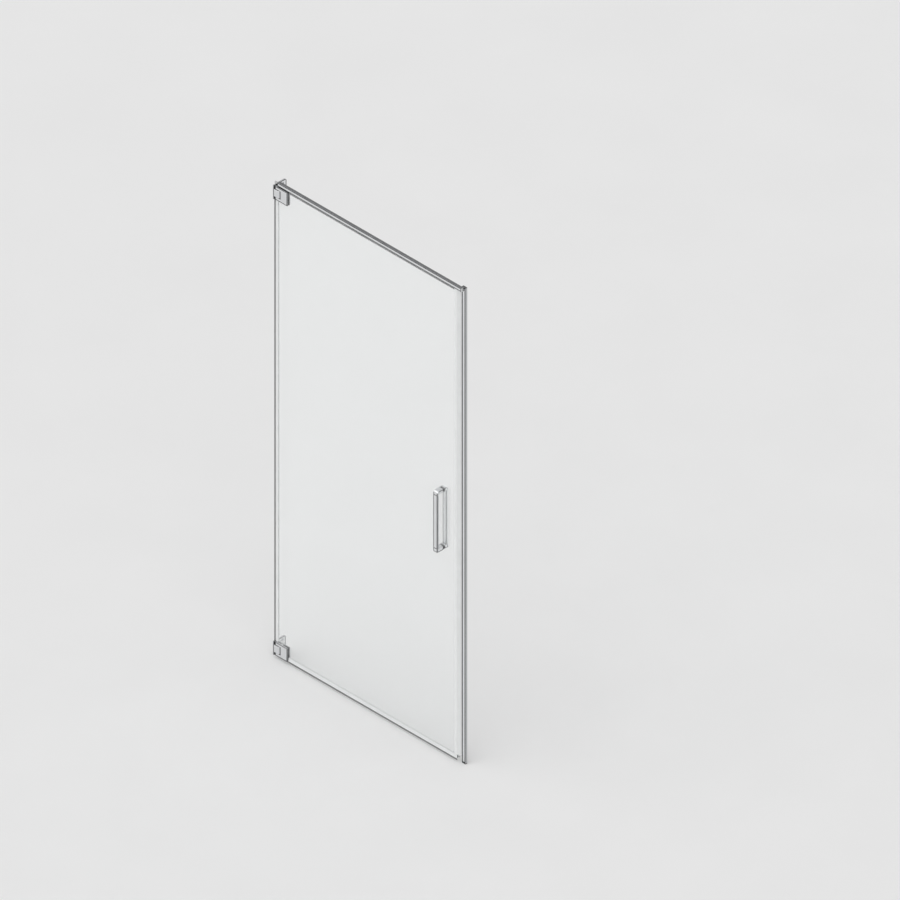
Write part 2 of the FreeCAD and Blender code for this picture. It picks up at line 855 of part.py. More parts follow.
def make_handle_arm(face, sign, opposite, is_upper):
    """A block between the glass and one end of the grip. The upper one is rounded in front."""
    name = "high" if is_upper else "low"
    level = f"({handle_level} {'+' if is_upper else '-'} {stud_spread})"
    body = new_body(f"{face}_handle_arm_{name}", (handle_place, "0", level))
    foot = f"({sign} {handle_foot})"
    front = f"({sign} {handle_faces[face]})"
    half_height = f"({size.handle_arm_height} / 2)"
    half_width = f"({size.handle_width} / 2)"
    outline = new_sketch(body, "YZ_Plane")
    draw_rectangle(outline, foot, f"-{half_height}", front, half_height)
    pad(body, outline, size.handle_width, both_ways=True)

    def is_front_edge(edge):
        in_front = is_along(edge, along_x) and is_near(edge.CenterOfMass.y, front)
        return in_front and is_near(abs(edge.CenterOfMass.z), half_height)

    def is_eased(edge):
        at_foot = is_near(edge.CenterOfMass.y, foot)
        return is_front_edge(edge) or is_near(abs(edge.CenterOfMass.x), half_width) and not at_foot

    if is_upper:
        fillet(body, size.handle_round_radius, lambda edge: is_front_edge(edge) and edge.CenterOfMass.z > 0)
    fillet(body, size.handle_edge_radius, is_eased)
    stud_hole = new_sketch(body, "XZ_Plane", f"({opposite} {handle_foot})")
    draw_circle(stud_hole, "0", "0", f"({size.handle_stud_radius} + {size.fit_clearance})")
    cut(body, stud_hole, f"({size.handle_stud_reach} + {size.part_clearance})", backwards=sign == "-")
    mortise = new_sketch(body, "XY_Plane", f"-{half_height}" if is_upper else half_height)
    draw_tenon(mortise, face, sign, size.fit_clearance)
    cut(body, mortise, f"({size.handle_tenon_length} + {size.part_clearance})", backwards=is_upper)
    return body


def make_handles():
    grub_place = f"({handle_foot} + {size.handle_grub_depth})"
    for face, sign, opposite in (("outer", "-", ""), ("inner", "", "-")):
        make_handle_grip(face, sign)
        arms = []
        for is_upper in (False, True):
            arm = make_handle_arm(face, sign, opposite, is_upper)
            if face == "inner":
                grub_hole = new_sketch(arm, "YZ_Plane")
                draw_circle(grub_hole, grub_place, "0", f"({size.handle_grub_radius} + {size.fit_clearance})")
                cut(arm, grub_hole, size.handle_width)
            arms.append(arm)
        add_group(f"{face}_handle_arms", arms)
    make_handle_fixings(grub_place)


def make_handle_fixings(grub_place):
    """Studs through the glass tie the two handles together, and grub screws lock the inner one."""
    studs = []
    sleeves = []
    washers = []
    grubs = []
    stud_profile = [
        ("0", f"-{stud_end}"),
        (size.handle_stud_radius, f"-{stud_end}"),
        (size.handle_stud_radius, stud_end),
        ("0", stud_end),
    ]
    grub_length = f"({size.handle_width} / 2 - {size.handle_stud_radius} - {size.handle_edge_radius})"
    grub_start = f"({handle_place} - {size.handle_width} / 2 + {size.handle_edge_radius})"
    for name, sign in (("low", "-"), ("high", "+")):
        height = f"({handle_level} {sign} {stud_spread})"
        place = (handle_place, "0", height)
        studs.append(turned(f"handle_stud_{name}", stud_profile, place, towards_y))
        sleeves.append(
            ring(
                f"handle_sleeve_{name}",
                size.handle_sleeve_radius,
                size.handle_sleeve_bore,
                size.glass_thickness,
                (handle_place, f"-{half_glass}", height),
                towards_y,
            )
        )
        for face, start in (("outer", f"-{handle_foot}"), ("inner", half_glass)):
            washers.append(
                ring(
                    f"handle_washer_{face}_{name}",
                    size.handle_washer_radius,
                    size.handle_sleeve_bore,
                    size.handle_washer_thickness,
                    (handle_place, start, height),
                    towards_y,
                )
            )
        grubs.append(
            grub_screw(
                f"handle_grub_{name}",
                size.handle_grub_radius,
                grub_length,
                size.handle_grub_key,
                (grub_start, grub_place, height),
                towards_x,
            )
        )
    add_group("handle_studs", studs)
    add_group("handle_sleeves", sleeves)
    add_group("handle_washers", washers)
    add_group("handle_grub_screws", grubs)


# Top bar

def draw_bar_section(sketch, inset):
    """The bar's section, drawn smaller all round by the inset."""
    draw_rectangle(
        sketch,
        f"(-{size.bar_front} + {inset})",
        f"({bar_bottom} + {inset})",
        f"({bar_back} - {inset})",
        f"({bar_top} - {inset})",
    )


def make_top_bar():
    body = new_body("top_bar")
    tube_end = f"({bar_end} - {size.bar_plug_flange})"
    section = new_sketch(body, "YZ_Plane", size.bar_wall_gap)
    draw_bar_section(section, "0")
    pad(body, section, f"({tube_end} - {size.bar_wall_gap})")
    fillet(body, size.bar_edge_radius, lambda edge: is_along(edge, along_x))
    bore = new_sketch(body, "YZ_Plane")
    draw_bar_section(bore, size.bar_wall)
    cut(body, bore)
    grub_hole = new_sketch(body, "XY_Plane", bar_bottom)
    draw_circle(grub_hole, bar_grub_x, bar_centre, bar_grub_hole)
    cut(body, grub_hole, f"({size.bar_wall} + {size.cut_overrun})", backwards=True)
    screw_hole = new_sketch(body, "XZ_Plane", f"-{bar_back}")
    draw_circle(screw_hole, post_screw_place, bar_middle, post_screw_hole)
    cut(body, screw_hole, f"({size.bar_wall} + {size.cut_overrun})", backwards=True)
    return add_part(body)


def make_bar_fixings():
    """A spigot with a round neck from the wall into the bar, and the screw that locks the bar on it."""
    spigot = new_body("bar_wall_spigot")
    section = new_sketch(spigot, "YZ_Plane", size.bar_wall_gap)
    draw_bar_section(section, f"({size.bar_wall} + {size.fit_clearance})")
    pad(spigot, section, size.spigot_length)
    neck = new_sketch(spigot, "YZ_Plane")
    draw_circle(neck, bar_centre, bar_middle, size.spigot_neck_radius)
    pad(spigot, neck, size.bar_wall_gap)
    wall_hole = new_sketch(spigot, "YZ_Plane")
    draw_circle(wall_hole, bar_centre, bar_middle, size.spigot_hole_radius)
    cut(spigot, wall_hole)
    grub_seat = new_sketch(spigot, "XY_Plane", bar_bottom)
    draw_circle(grub_seat, bar_grub_x, bar_centre, bar_grub_hole)
    cut(spigot, grub_seat, f"({size.bar_grub_length} + {size.fit_clearance})", backwards=True)
    add_part(spigot)
    add_part(
        grub_screw(
            "bar_grub_screw",
            size.bar_grub_radius,
            size.bar_grub_length,
            size.bar_grub_key,
            (bar_grub_x, bar_centre, bar_bottom),
        )
    )


def make_bar_end_plug():
    body = new_body("bar_end_plug")
    flange_start = f"({bar_end} - {size.bar_plug_flange})"
    insert = new_sketch(body, "YZ_Plane", f"({flange_start} - {size.bar_plug_length})")
    draw_bar_section(insert, f"({size.bar_wall} + {size.fit_clearance})")
    pad(body, insert, size.bar_plug_length)
    flange = new_sketch(body, "YZ_Plane", flange_start)
    draw_bar_section(flange, "0")
    pad(body, flange, size.bar_plug_flange)
    thread = new_sketch(body, "XZ_Plane", f"-{bar_back}")
    draw_circle(thread, post_screw_place, bar_middle, post_screw_hole)
    cut(body, thread, f"({size.post_screw_bite} + {size.part_clearance})", backwards=True)
    return add_part(body)


# Strike post

def post_x(offset):
    return f"({post_left} + {offset})"


def post_y(offset):
    return f"({post_front} + {offset})"


def draw_chamber(sketch, inset):
    """The closed hollow beside the post's web, drawn smaller all round by the inset."""
    draw_rectangle(
        sketch,
        post_x(f"{size.magnet_groove_depth} + {size.post_web} + {inset}"),
        post_y(f"{size.post_wall} + {inset}"),
        post_x(f"{size.post_width} - {size.post_wall} - {inset}"),
        post_y(f"{size.post_depth} - {size.post_wall} - {inset}"),
    )


def make_strike_post():
    body = new_body("strike_post")
    outline = new_sketch(body, "XY_Plane", post_bottom)
    groove_start = post_y(size.magnet_groove_inset)
    groove_end = post_y(f"{size.magnet_groove_inset} + {size.magnet_groove_width}")
    groove_floor = post_x(size.magnet_groove_depth)
    draw_polygon(
        outline,
        [
            (post_left, post_front),
            (size.overall_width, post_front),
            (size.overall_width, post_back),
            (post_left, post_back),
            (post_left, groove_end),
            (groove_floor, groove_end),
            (groove_floor, groove_start),
            (post_left, groove_start),
        ],
    )
    draw_chamber(outline, "0")
    pad(body, outline, f"({post_top} - {post_bottom})")
    fillet(
        body,
        size.post_edge_radius,
        lambda edge: is_along(edge, along_z) and is_near(edge.CenterOfMass.y, post_front),
    )
    screw_hole = new_sketch(body, "XZ_Plane", f"-{post_back}")
    draw_circle(screw_hole, post_screw_place, bar_middle, post_screw_hole)
    sink = f"(2 * ({size.post_screw_head_radius} + {size.part_clearance}))"
    countersink(body, screw_hole, f"(2 * {post_screw_hole})", sink, True)
    return add_part(body)


def make_post_end(label, level, height, peg_level, peg_length):
    """An end piece of the post's own outline, with a peg in the post's closed hollow."""
    body = new_body(label)
    outline = new_sketch(body, "XY_Plane", level)
    draw_rectangle(outline, post_left, post_front, size.overall_width, post_back)
    pad(body, outline, height)
    fillet(
        body,
        size.post_edge_radius,
        lambda edge: is_along(edge, along_z) and is_near(edge.CenterOfMass.y, post_front),
    )
    peg = new_sketch(body, "XY_Plane", peg_level)
    draw_chamber(peg, size.fit_clearance)
    pad(body, peg, peg_length)
    return add_part(body)


def make_post_ends():
    peg_level = f"({post_top} - {size.post_cap_peg})"
    make_post_end("post_top_cap", post_top, size.post_cap_height, peg_level, size.post_cap_peg)
    foot = make_post_end("post_foot", tray_level, size.post_foot_height, post_bottom, size.post_foot_peg)
    hole = new_sketch(foot, "XY_Plane", tray_level)
    peg_sides = f"{size.magnet_groove_depth} + {size.post_web} + {size.post_width} - {size.post_wall}"
    hole_x = post_x(f"({peg_sides}) / 2")
    hole_y = post_y(f"{size.post_depth} / 2")
    draw_circle(hole, hole_x, hole_y, size.post_foot_hole_radius)
    cut(foot, hole, size.post_foot_hole_depth, backwards=True)


def make_post_screw():
    add_part(
        sunk_screw(
            "bar_post_screw",
            size.post_screw_radius,
            f"({size.post_depth} + {size.post_screw_bite})",
            size.post_screw_head_radius,
            size.post_screw_key,
            (post_screw_place, post_back, bar_middle),
            towards_minus_y,
        )
    )


# Magnets and seals

def extruded_upright(label, corners, start, end):
    body = new_body(label)
    outline = new_sketch(body, "XY_Plane", start)
    draw_polygon(outline, corners)
    pad(body, outline, f"({end} - {start})")
    return body


def make_magnets(start):
    half_strip = f"({size.magnet_groove_width} / 2 - {size.fit_clearance})"
    groove_floor = post_x(size.magnet_groove_depth)
    strike = [
        (post_x(size.part_clearance), f"({magnet_middle} - {half_strip})"),
        (groove_floor, f"({magnet_middle} - {half_strip})"),
        (groove_floor, f"({magnet_middle} + {half_strip})"),
        (post_x(size.part_clearance), f"({magnet_middle} + {half_strip})"),
    ]
    add_part(extruded_upright("strike_magnet", strike, post_bottom, leaf_top))
    back = f"({seal_face} - {size.seal_wall})"
    front = f"({back} - {size.door_magnet_thickness})"
    half_width = f"({size.door_magnet_width} / 2)"
    door = [
        (front, f"({magnet_middle} - {half_width})"),
        (back, f"({magnet_middle} - {half_width})"),
        (back, f"({magnet_middle} + {half_width})"),
        (front, f"({magnet_middle} + {half_width})"),
    ]
    add_part(extruded_upright("door_magnet", door, start, leaf_top))


def make_magnet_seal(start):
    """A push-on channel with a sloping front and a pocket that holds the door's magnet."""
    leg_end = f"({glass_right} - {size.seal_leg})"
    web_inside = f"({glass_right} + {size.fit_clearance})"
    web_outside = f"({web_inside} + {size.seal_wall})"
    half_pocket = f"({size.door_magnet_width} / 2 + {size.fit_clearance})"
    pocket_front = f"({magnet_middle} - {half_pocket})"
    pocket_back = f"({magnet_middle} + {half_pocket})"
    pocket_wall = f"({pocket_front} - {size.seal_wall})"
    pocket_right = f"({seal_face} - {size.seal_wall} + {size.fit_clearance})"
    pocket_left = f"({pocket_right} - {size.door_magnet_thickness} - 2 * {size.fit_clearance})"
    corners = [
        (leg_end, f"-{seal_outside}"),
        (web_outside, f"-{seal_outside}"),
        (seal_face, pocket_wall),
        (seal_face, f"({pocket_back} + {size.seal_wall})"),
        (web_inside, f"({pocket_back} + {size.seal_wall})"),
        (web_inside, seal_outside),
        (leg_end, seal_outside),
        (leg_end, seal_inside),
        (web_inside, seal_inside),
        (web_inside, f"-{seal_inside}"),
        (leg_end, f"-{seal_inside}"),
    ]
    body = extruded_upright("magnet_seal", corners, start, leaf_top)
    pocket = new_sketch(body, "XY_Plane")
    draw_rectangle(pocket, pocket_left, pocket_front, pocket_right, pocket_back)
    cut(body, pocket)
    hollow = new_sketch(body, "XY_Plane")
    slope_wall = f"(2 * {size.seal_wall})"
    draw_polygon(
        hollow,
        [
            (web_outside, f"({slope_wall} - {seal_outside})"),
            (f"({seal_face} - {slope_wall})", pocket_wall),
            (web_outside, pocket_wall),
        ],
    )
    cut(body, hollow)
    add_part(body)


def make_hinge_side_seal():
    """A push-on channel with a wide, rounded nose towards the wall, between the two wall plates."""
    start = f"({size.clamp_height} / 2 + {size.seal_end_gap})"
    end = f"({upper_level} - {size.clamp_height} / 2 - {size.seal_end_gap})"
    nose = f"({size.glass_from_wall} - {size.seal_nose})"
    inside = f"({size.glass_from_wall} - {size.fit_clearance})"
    leg_end = f"({size.glass_from_wall} + {size.seal_leg})"
    nose_end = f"({nose} + {size.seal_nose_length})"
    half_nose = f"({size.seal_nose_width} / 2)"
    corners = [
        (nose, f"-{half_nose}"),
        (nose_end, f"-{half_nose}"),
        (nose_end, f"-{seal_outside}"),
        (leg_end, f"-{seal_outside}"),
        (leg_end, f"-{seal_inside}"),
        (inside, f"-{seal_inside}"),
        (inside, seal_inside),
        (leg_end, seal_inside),
        (leg_end, seal_outside),
        (nose_end, seal_outside),
        (nose_end, half_nose),
        (nose, half_nose),
    ]
    body = extruded_upright("hinge_side_seal", corners, start, end)
    fillet(
        body,
        size.seal_nose_radius,
        lambda edge: is_along(edge, along_z) and is_near(edge.CenterOfMass.x, nose),
    )
    add_part(body)


def make_bottom_drip_seal():
    """A push-on channel with a front skirt and a sloping lip that throws water back inside."""
    body = new_body("bottom_drip_seal")
    start = f"({clamp_end} + {size.seal_end_gap})"
    web_inside = f"({glass_bottom} - {size.fit_clearance})"
    web_outside = f"({web_inside} - {size.seal_wall})"
    leg_top = f"({glass_bottom} + {size.seal_leg})"
    lip_end = f"({seal_outside} + {size.drip_lip_reach})"
    skirt_bottom = f"({leaf_bottom} - {size.drip_skirt_fall})"
    outline = new_sketch(body, "YZ_Plane", start)
    draw_polygon(
        outline,
        [
            (f"-{seal_outside}", skirt_bottom),
            (f"-{seal_inside}", skirt_bottom),
            (f"-{seal_inside}", web_outside),
            (seal_outside, web_outside),
            (lip_end, f"({web_outside} - {size.drip_lip_fall})"),
            (lip_end, f"({web_outside} - {size.drip_lip_fall} + {size.seal_wall})"),
            (seal_outside, f"({web_outside} + {size.seal_wall})"),
            (seal_outside, leg_top),
            (seal_inside, leg_top),
            (seal_inside, web_inside),
            (f"-{seal_inside}", web_inside),
            (f"-{seal_inside}", leg_top),
            (f"-{seal_outside}", leg_top),
        ],
    )
    pad(body, outline, f"({glass_right} - {start})")
    add_part(body)
    return leg_top


def make_head_stop():
    """A tapered rubber strip under the bar, which the glass closes against."""
    body = new_body("head_stop")
    start = f"({clamp_end} + {size.seal_end_gap})"
    end = f"({glass_right} - {size.seal_leg} - {size.seal_end_gap})"
    front = f"({half_glass} + {size.stop_gap})"
    stop_bottom = f"({bar_bottom} - {size.stop_height})"
    outline = new_sketch(body, "YZ_Plane", start)
    draw_polygon(
        outline,
        [
            (front, bar_bottom),
            (front, stop_bottom),
            (f"({front} + {size.stop_tip})", stop_bottom),
            (f"({front} + {size.stop_thickness})", bar_bottom),
        ],
    )
    pad(body, outline, f"({end} - {start})")
    add_part(body)


def check_and_write():
    """Stops on any failed object or bad shape before a file is written."""
    document.recompute()
    for item in document.Objects:
        if "Invalid" in item.State or "Error" in item.State:
            raise RuntimeError(f"{item.Label} failed: {item.State}")
    for piece in parts:
        if piece.Shape.isNull() or not piece.Shape.isValid():
            raise RuntimeError(f"{piece.Label} has no valid shape")
    os.makedirs("parts", exist_ok=True)
    for piece in parts:
        piece.Shape.exportStep(f"parts/{piece.Label}.step")
    print(f"{len(parts)} sub-parts written")


make_hinge("lower", lower_level, f"({size.clamp_height} / 2)")
make_hinge("upper", upper_level, f"({bar_bottom} - {upper_level})")
make_glass()
make_handles()
make_top_bar()
make_bar_fixings()
make_bar_end_plug()
make_strike_post()
make_post_ends()
make_post_screw()
drip_seal_top = make_bottom_drip_seal()
seal_start = f"({drip_seal_top} + {size.seal_end_gap})"
make_magnets(seal_start)
make_magnet_seal(seal_start)
make_hinge_side_seal()
make_head_stop()
check_and_write()
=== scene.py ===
import json
import math

import bpy
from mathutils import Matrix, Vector


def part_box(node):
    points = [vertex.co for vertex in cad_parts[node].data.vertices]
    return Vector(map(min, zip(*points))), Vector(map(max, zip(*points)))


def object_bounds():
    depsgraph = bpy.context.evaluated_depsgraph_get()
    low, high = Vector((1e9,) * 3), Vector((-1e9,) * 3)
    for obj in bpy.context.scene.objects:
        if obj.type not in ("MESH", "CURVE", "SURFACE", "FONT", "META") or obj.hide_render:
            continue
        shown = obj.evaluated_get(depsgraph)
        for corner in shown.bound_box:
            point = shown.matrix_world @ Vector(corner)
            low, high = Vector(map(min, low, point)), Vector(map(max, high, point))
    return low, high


# Hinged shower door: its finishes, a plain studio and an isometric camera
# Metres, in the frame's own axes: X along the door from the wall, Y into the shower, Z up.

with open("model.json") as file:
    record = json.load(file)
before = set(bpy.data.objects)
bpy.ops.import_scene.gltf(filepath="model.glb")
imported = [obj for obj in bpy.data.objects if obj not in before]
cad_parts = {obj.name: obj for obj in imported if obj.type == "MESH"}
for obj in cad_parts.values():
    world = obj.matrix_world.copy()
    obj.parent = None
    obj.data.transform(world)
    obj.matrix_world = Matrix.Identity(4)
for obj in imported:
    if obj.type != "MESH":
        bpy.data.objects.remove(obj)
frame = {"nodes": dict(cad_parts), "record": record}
cad_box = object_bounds()

# Camera: a parallel view, equally steep to all three axes
view_width = 2.936
view_target = Vector((0.4033, 0.4033, 0.7845))
view_distance = 6.0
view_far_limit = 400.0
towards_camera = Vector((1, -1, 1)).normalized()

# Studio floor
floor_reach = 120.0
floor_greys = (0.88, 0.865)
floor_patch = 0.4
floor_grain = 0.2
floor_roughness = (0.85, 0.95)

# Key light
key_direction = Vector((0.1, -0.62, 0.78))
key_strength = 1.3
key_spread = math.radians(100)

# Greys of the surround by height, from straight down (-1) to straight up (1); below the horizon they
# are as pale as the lit floor
world_greys = {
    -1.0: 0.783,
    -0.01: 0.783,
    0.0: 0.72,
    0.05: 0.72,
    0.32: 0.6,
    0.52: 0.55,
    0.75: 0.55,
    1.0: 0.6,
}

# Noise: its fineness, and the values between which most of it lies
noise_detail = 3.0
noise_low = 0.3
noise_high = 0.7

# Rays that look for a neighbour at each point of a joint, for the painted shade in joints
crevice_shade_samples = 8

# How square to an axis a face starts to count as looking along it, and where it counts in full;
# 0 is edge-on and 1 is square
shaded_side_turn = (0.55, 0.85)
flat_turn = (0.85, 0.95)
glass_turn = (0.7, 0.95)

# Words in the names of metal nodes with satin faces that are also painted darker as shade, and the axis
# along which those faces look
satin_shaded_faces = {
    "outer_handle_grip": "X",
    "clamp": "X",
    "block": "X",
    "top_bar": "Z",
    "wall_plate": "Y",
}

# Words in the names of box-shaped metal nodes whose faces have painted shade in a dark line along their
# edges, and the axes along which those faces look
edge_shaded_faces = {
    "top_bar": "Y",
    "strike_post": "Y",
    "clamp_cover": "Y",
    "wall_plate": "X",
    "handle_grip": "Y",
    "handle_arms": "XY",
}
plate_edge_shade_width = 0.0032
profile_edge_shade_width = 0.0045

# Length at each end of such a node that is hidden in its neighbours, by a word in the node's name
hidden_ends = {"handle_grip": 0.005}

# Colours of the metals, the glass and the clear seals, as linear red, green and blue
# Painted shade in a dark line along the edges of the faces
edge_shade_colour = (0.06, 0.061, 0.063)
chrome_colours = ((0.82, 0.83, 0.84), (0.76, 0.77, 0.785))
# Painted shade in the joints and inner corners of the chrome
chrome_crevice_shade_colour = (0.1, 0.1, 0.105)
# Painted shade on the satin faces of the chrome
chrome_side_shade_colour = (0.28, 0.284, 0.292)
anodised_colours = ((0.86, 0.87, 0.88), (0.80, 0.81, 0.82))
# Painted shade on the profile's top and on the faces that look along the door
anodised_side_shade_colour = (0.5, 0.507, 0.52)
glass_edge_colour = (0.74, 0.80, 0.785)
glass_face_colour = (0.97, 0.98, 0.98)
seal_colours = ((0.93, 0.94, 0.94), (0.89, 0.90, 0.90))
seal_lip_colour = (0.20, 0.206, 0.206)

# Height of the drip seal's skirt that is still clear, below the glass
skirt_clear_height = 0.002

# Finishes that are the same all over a node, by slot: the shader's constants, two colours and the size of
# their patches, the roughness and its grain, and the relief's grain and height
grained_finishes = {
    "gasket_rubber": dict(
        constants={"IOR": 1.5},
        colours=((0.022, 0.022, 0.024), (0.045, 0.045, 0.047)),
        patch=0.01,
        roughness=(0.55, 0.75),
        grain=0.0009,
        relief_grain=0.0009,
        relief_height=3e-5,
    ),
    "magnet_strip": dict(
        constants={"IOR": 1.5},
        colours=((0.05, 0.05, 0.053), (0.085, 0.085, 0.088)),
        patch=0.015,
        roughness=(0.45, 0.62),
        grain=0.0007,
        relief_grain=0.0007,
        relief_height=2e-5,
        stretch=(1, 1, 30),
    ),
    "fastener_steel": dict(
        constants={"Metallic": 1},
        colours=((0.62, 0.62, 0.61), (0.52, 0.52, 0.52)),
        patch=0.006,
        roughness=(0.22, 0.4),
        grain=0.0012,
        relief_grain=0.0008,
        relief_height=5e-6,
    ),
    "bearing_plastic": dict(
        constants={"IOR": 1.48},
        colours=((0.020, 0.020, 0.021), (0.034, 0.034, 0.036)),
        patch=0.008,
        roughness=(0.35, 0.5),
        grain=0.002,
        relief_grain=0.0012,
        relief_height=1e-5,
    ),
    "urethane": dict(
        constants={"Transmission Weight": 0.3, "IOR": 1.5},
        colours=((0.70, 0.52, 0.20), (0.58, 0.42, 0.15)),
        patch=0.004,
        roughness=(0.3, 0.45),
        grain=0.001,
    ),
    "cap_plastic": dict(
        constants={"IOR": 1.5},
        colours=((0.11, 0.112, 0.115), (0.085, 0.087, 0.09)),
        patch=0.012,
        roughness=(0.38, 0.55),
        grain=0.0006,
        relief_grain=0.0006,
        relief_height=2e-5,
    ),
}


def named_value(node, table, missing):
    """What the table gives for a word in the node's name, or the missing value."""
    return next((value for word, value in table.items() if word in node), missing)


def lengthwise(node, along, across):
    """The value along for the node's longest side and the value across for the others."""
    lowest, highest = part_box(node)
    spans = highest - lowest
    return [along if span == max(spans) else across for span in spans]


def seen_box(node):
    """The node's lowest and highest corners, without the ends that are hidden in its neighbours."""
    lowest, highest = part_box(node)
    hidden = named_value(node, hidden_ends, missing=0)
    inset = Vector(lengthwise(node, along=hidden, across=0))
    return lowest + inset, highest - inset


class Finish:
    """A node material round one Principled shader, with helpers that add texture nodes to it."""

    def __init__(self, name, constants):
        self.material = bpy.data.materials.new(name)
        self.material.use_nodes = True
        self.tree = self.material.node_tree
        self.shader = next(node for node in self.tree.nodes if node.type == "BSDF_PRINCIPLED")
        self.output = next(node for node in self.tree.nodes if node.type == "OUTPUT_MATERIAL")
        for socket, constant in constants.items():
            self.shader.inputs[socket].default_value = constant

    def add(self, kind):
        return self.tree.nodes.new(f"ShaderNode{kind}")

    def link(self, source, target):
        self.tree.links.new(source, target)

    def ranged(self, factor, low=0, high=1, start=0, end=1, smooth=False):
        """The factor between start and end, stretched to the range from low to high."""
        ramp = self.add("MapRange")
        if smooth:
            ramp.interpolation_type = "SMOOTHSTEP"
        ends = {"From Min": start, "From Max": end, "To Min": low, "To Max": high}
        for socket, value in ends.items():
            ramp.inputs[socket].default_value = value
        self.link(factor, ramp.inputs["Value"])
        return ramp.outputs["Result"]

    def noise(self, grain, stretch=(1, 1, 1)):
        """Noise from 0 to 1 with grains of about the given size, drawn out along the stretched axes."""
        place = self.add("TexCoord")
        scaled = self.add("Mapping")
        scaled.inputs["Scale"].default_value = [1 / (grain * share) for share in stretch]
        texture = self.add("TexNoise")
        texture.inputs["Scale"].default_value = 1
        texture.inputs["Detail"].default_value = noise_detail
        self.link(place.outputs["Object"], scaled.inputs["Vector"])
        self.link(scaled.outputs["Vector"], texture.inputs["Vector"])
        return self.ranged(texture.outputs["Fac"], start=noise_low, end=noise_high)

    def calculate(self, operation, first, second=0):
        """One step of arithmetic on a socket with a second socket or a plain number."""
        node = self.add("Math")
        node.operation = operation
        self.link(first, node.inputs[0])
        if isinstance(second, (int, float)):
            node.inputs[1].default_value = second
        else:
            self.link(second, node.inputs[1])
        return node.outputs["Value"]

    def blend(self, factor, first, second):
        """A colour that goes from the first to the second with the factor; either may be a socket."""
        mix = self.add("Mix")
        mix.data_type = "RGBA"
        ends = [socket for socket in mix.inputs if socket.type == "RGBA"]
        for socket, end in zip(ends, (first, second)):
            if isinstance(end, tuple):
                socket.default_value = (*end, 1)
            else:
                self.link(end, socket)
        self.link(factor, mix.inputs["Factor"])
        return next(socket for socket in mix.outputs if socket.type == "RGBA")

    def set_colour(self, colour):
        self.link(colour, self.shader.inputs["Base Color"])

    def set_roughness(self, roughness):
        self.link(roughness, self.shader.inputs["Roughness"])

    def set_relief(self, factor, height):
        relief = self.add("Bump")
        relief.inputs["Strength"].default_value = 1
        relief.inputs["Distance"].default_value = height
        self.link(factor, relief.inputs["Height"])
        self.link(relief.outputs["Normal"], self.shader.inputs["Normal"])

    def let_lamps_through(self, share):
        """Lets that share of the lamps' light straight through, so that the floor behind stays lit."""
        path = self.add("LightPath")
        clear = self.add("BsdfTransparent")
        clear.inputs["Color"].default_value = (share, share, share, 1)
        either = self.add("MixShader")
        self.link(path.outputs["Is Shadow Ray"], either.inputs[0])
        self.link(self.shader.outputs["BSDF"], either.inputs[1])
        self.link(clear.outputs["BSDF"], either.inputs[2])
        self.link(either.outputs["Shader"], self.output.inputs["Surface"])

    def along(self, coordinates, axis):
        """One axis of the object's own coordinates: its Object place or its Normal."""
        place = self.add("TexCoord")
        axes = self.add("SeparateXYZ")
        self.link(place.outputs[coordinates], axes.inputs["Vector"])
        return axes.outputs[axis]

    def facing(self, axis, turn):
        """0 where the surface looks away from the axis and 1 where it looks along it, either way."""
        start, end = turn
        squareness = self.calculate("ABSOLUTE", self.along("Normal", axis))
        return self.ranged(squareness, start=start, end=end, smooth=True)

    def edge_shade(self, node, face_axis, width):
        """1 within the given width of the edges of the node's faces that look along the axis: the mask of
        the painted edge shade.
        """
        border = None
        for axis, low, high in zip("XYZ", *seen_box(node)):
            if axis != face_axis:
                offset = self.calculate("SUBTRACT", self.along("Object", axis), (low + high) / 2)
                inner_half = (high - low) / 2 - width
                near_edge = self.calculate("GREATER_THAN", self.calculate("ABSOLUTE", offset), inner_half)
                border = self.calculate("MAXIMUM", near_edge, border) if border else near_edge
        return self.calculate("MULTIPLY", self.facing(face_axis, flat_turn), border)

    def crevice_shade(self, reach):
        """Mask of the painted shade: 1 in joints and inner corners, 0 in the open."""
        shade = self.add("AmbientOcclusion")
        shade.samples = crevice_shade_samples
        shade.inputs["Distance"].default_value = reach
        return self.ranged(shade.outputs["AO"], low=1, high=0)


# Metals: each node has a material of its own, with its painted edge shade in place

def paint_edge_shade(finish, node, metal, width):
    """The metal's colour, with painted shade in a dark line of that width along the edges of the faces
    that have one.
    """
    for axis in named_value(node, edge_shaded_faces, missing=""):
        # Painted shade: a dark line along each edge of these faces
        metal = finish.blend(finish.edge_shade(node, axis, width), metal, edge_shade_colour)
    return metal


def polished_metal(node):
    """Chrome plate with painted shade in its joints, and satin with painted shade on the faces that the
    table names.
    """
    finish = Finish(f"polished_metal_{node}", {"Metallic": 1})
    plate = finish.blend(finish.noise(grain=0.05), *chrome_colours)
    # Painted shade: the chrome darkens where its ambient occlusion finds neighbours close by
    plate = finish.blend(finish.crevice_shade(reach=0.005), plate, chrome_crevice_shade_colour)
    roughness = finish.ranged(finish.noise(grain=0.012), low=0.06, high=0.14)
    relief = finish.noise(grain=0.004)
    for axis in named_value(node, satin_shaded_faces, missing=""):
        shaded_side = finish.facing(axis, shaded_side_turn)
        grinding = finish.noise(grain=0.0005, stretch=lengthwise(node, along=60, across=1))
        # Painted shade: the faces that look along the axis are darker, besides being rougher
        plate = finish.blend(shaded_side, plate, chrome_side_shade_colour)
        dulling = finish.calculate("MULTIPLY", shaded_side, finish.ranged(grinding, low=0.14, high=0.3))
        roughness = finish.calculate("ADD", roughness, dulling)
        relief = finish.calculate("MULTIPLY", shaded_side, grinding)
    finish.set_colour(paint_edge_shade(finish, node, plate, plate_edge_shade_width))
    finish.set_roughness(roughness)
    finish.set_relief(relief, height=3e-6)
    return finish.material


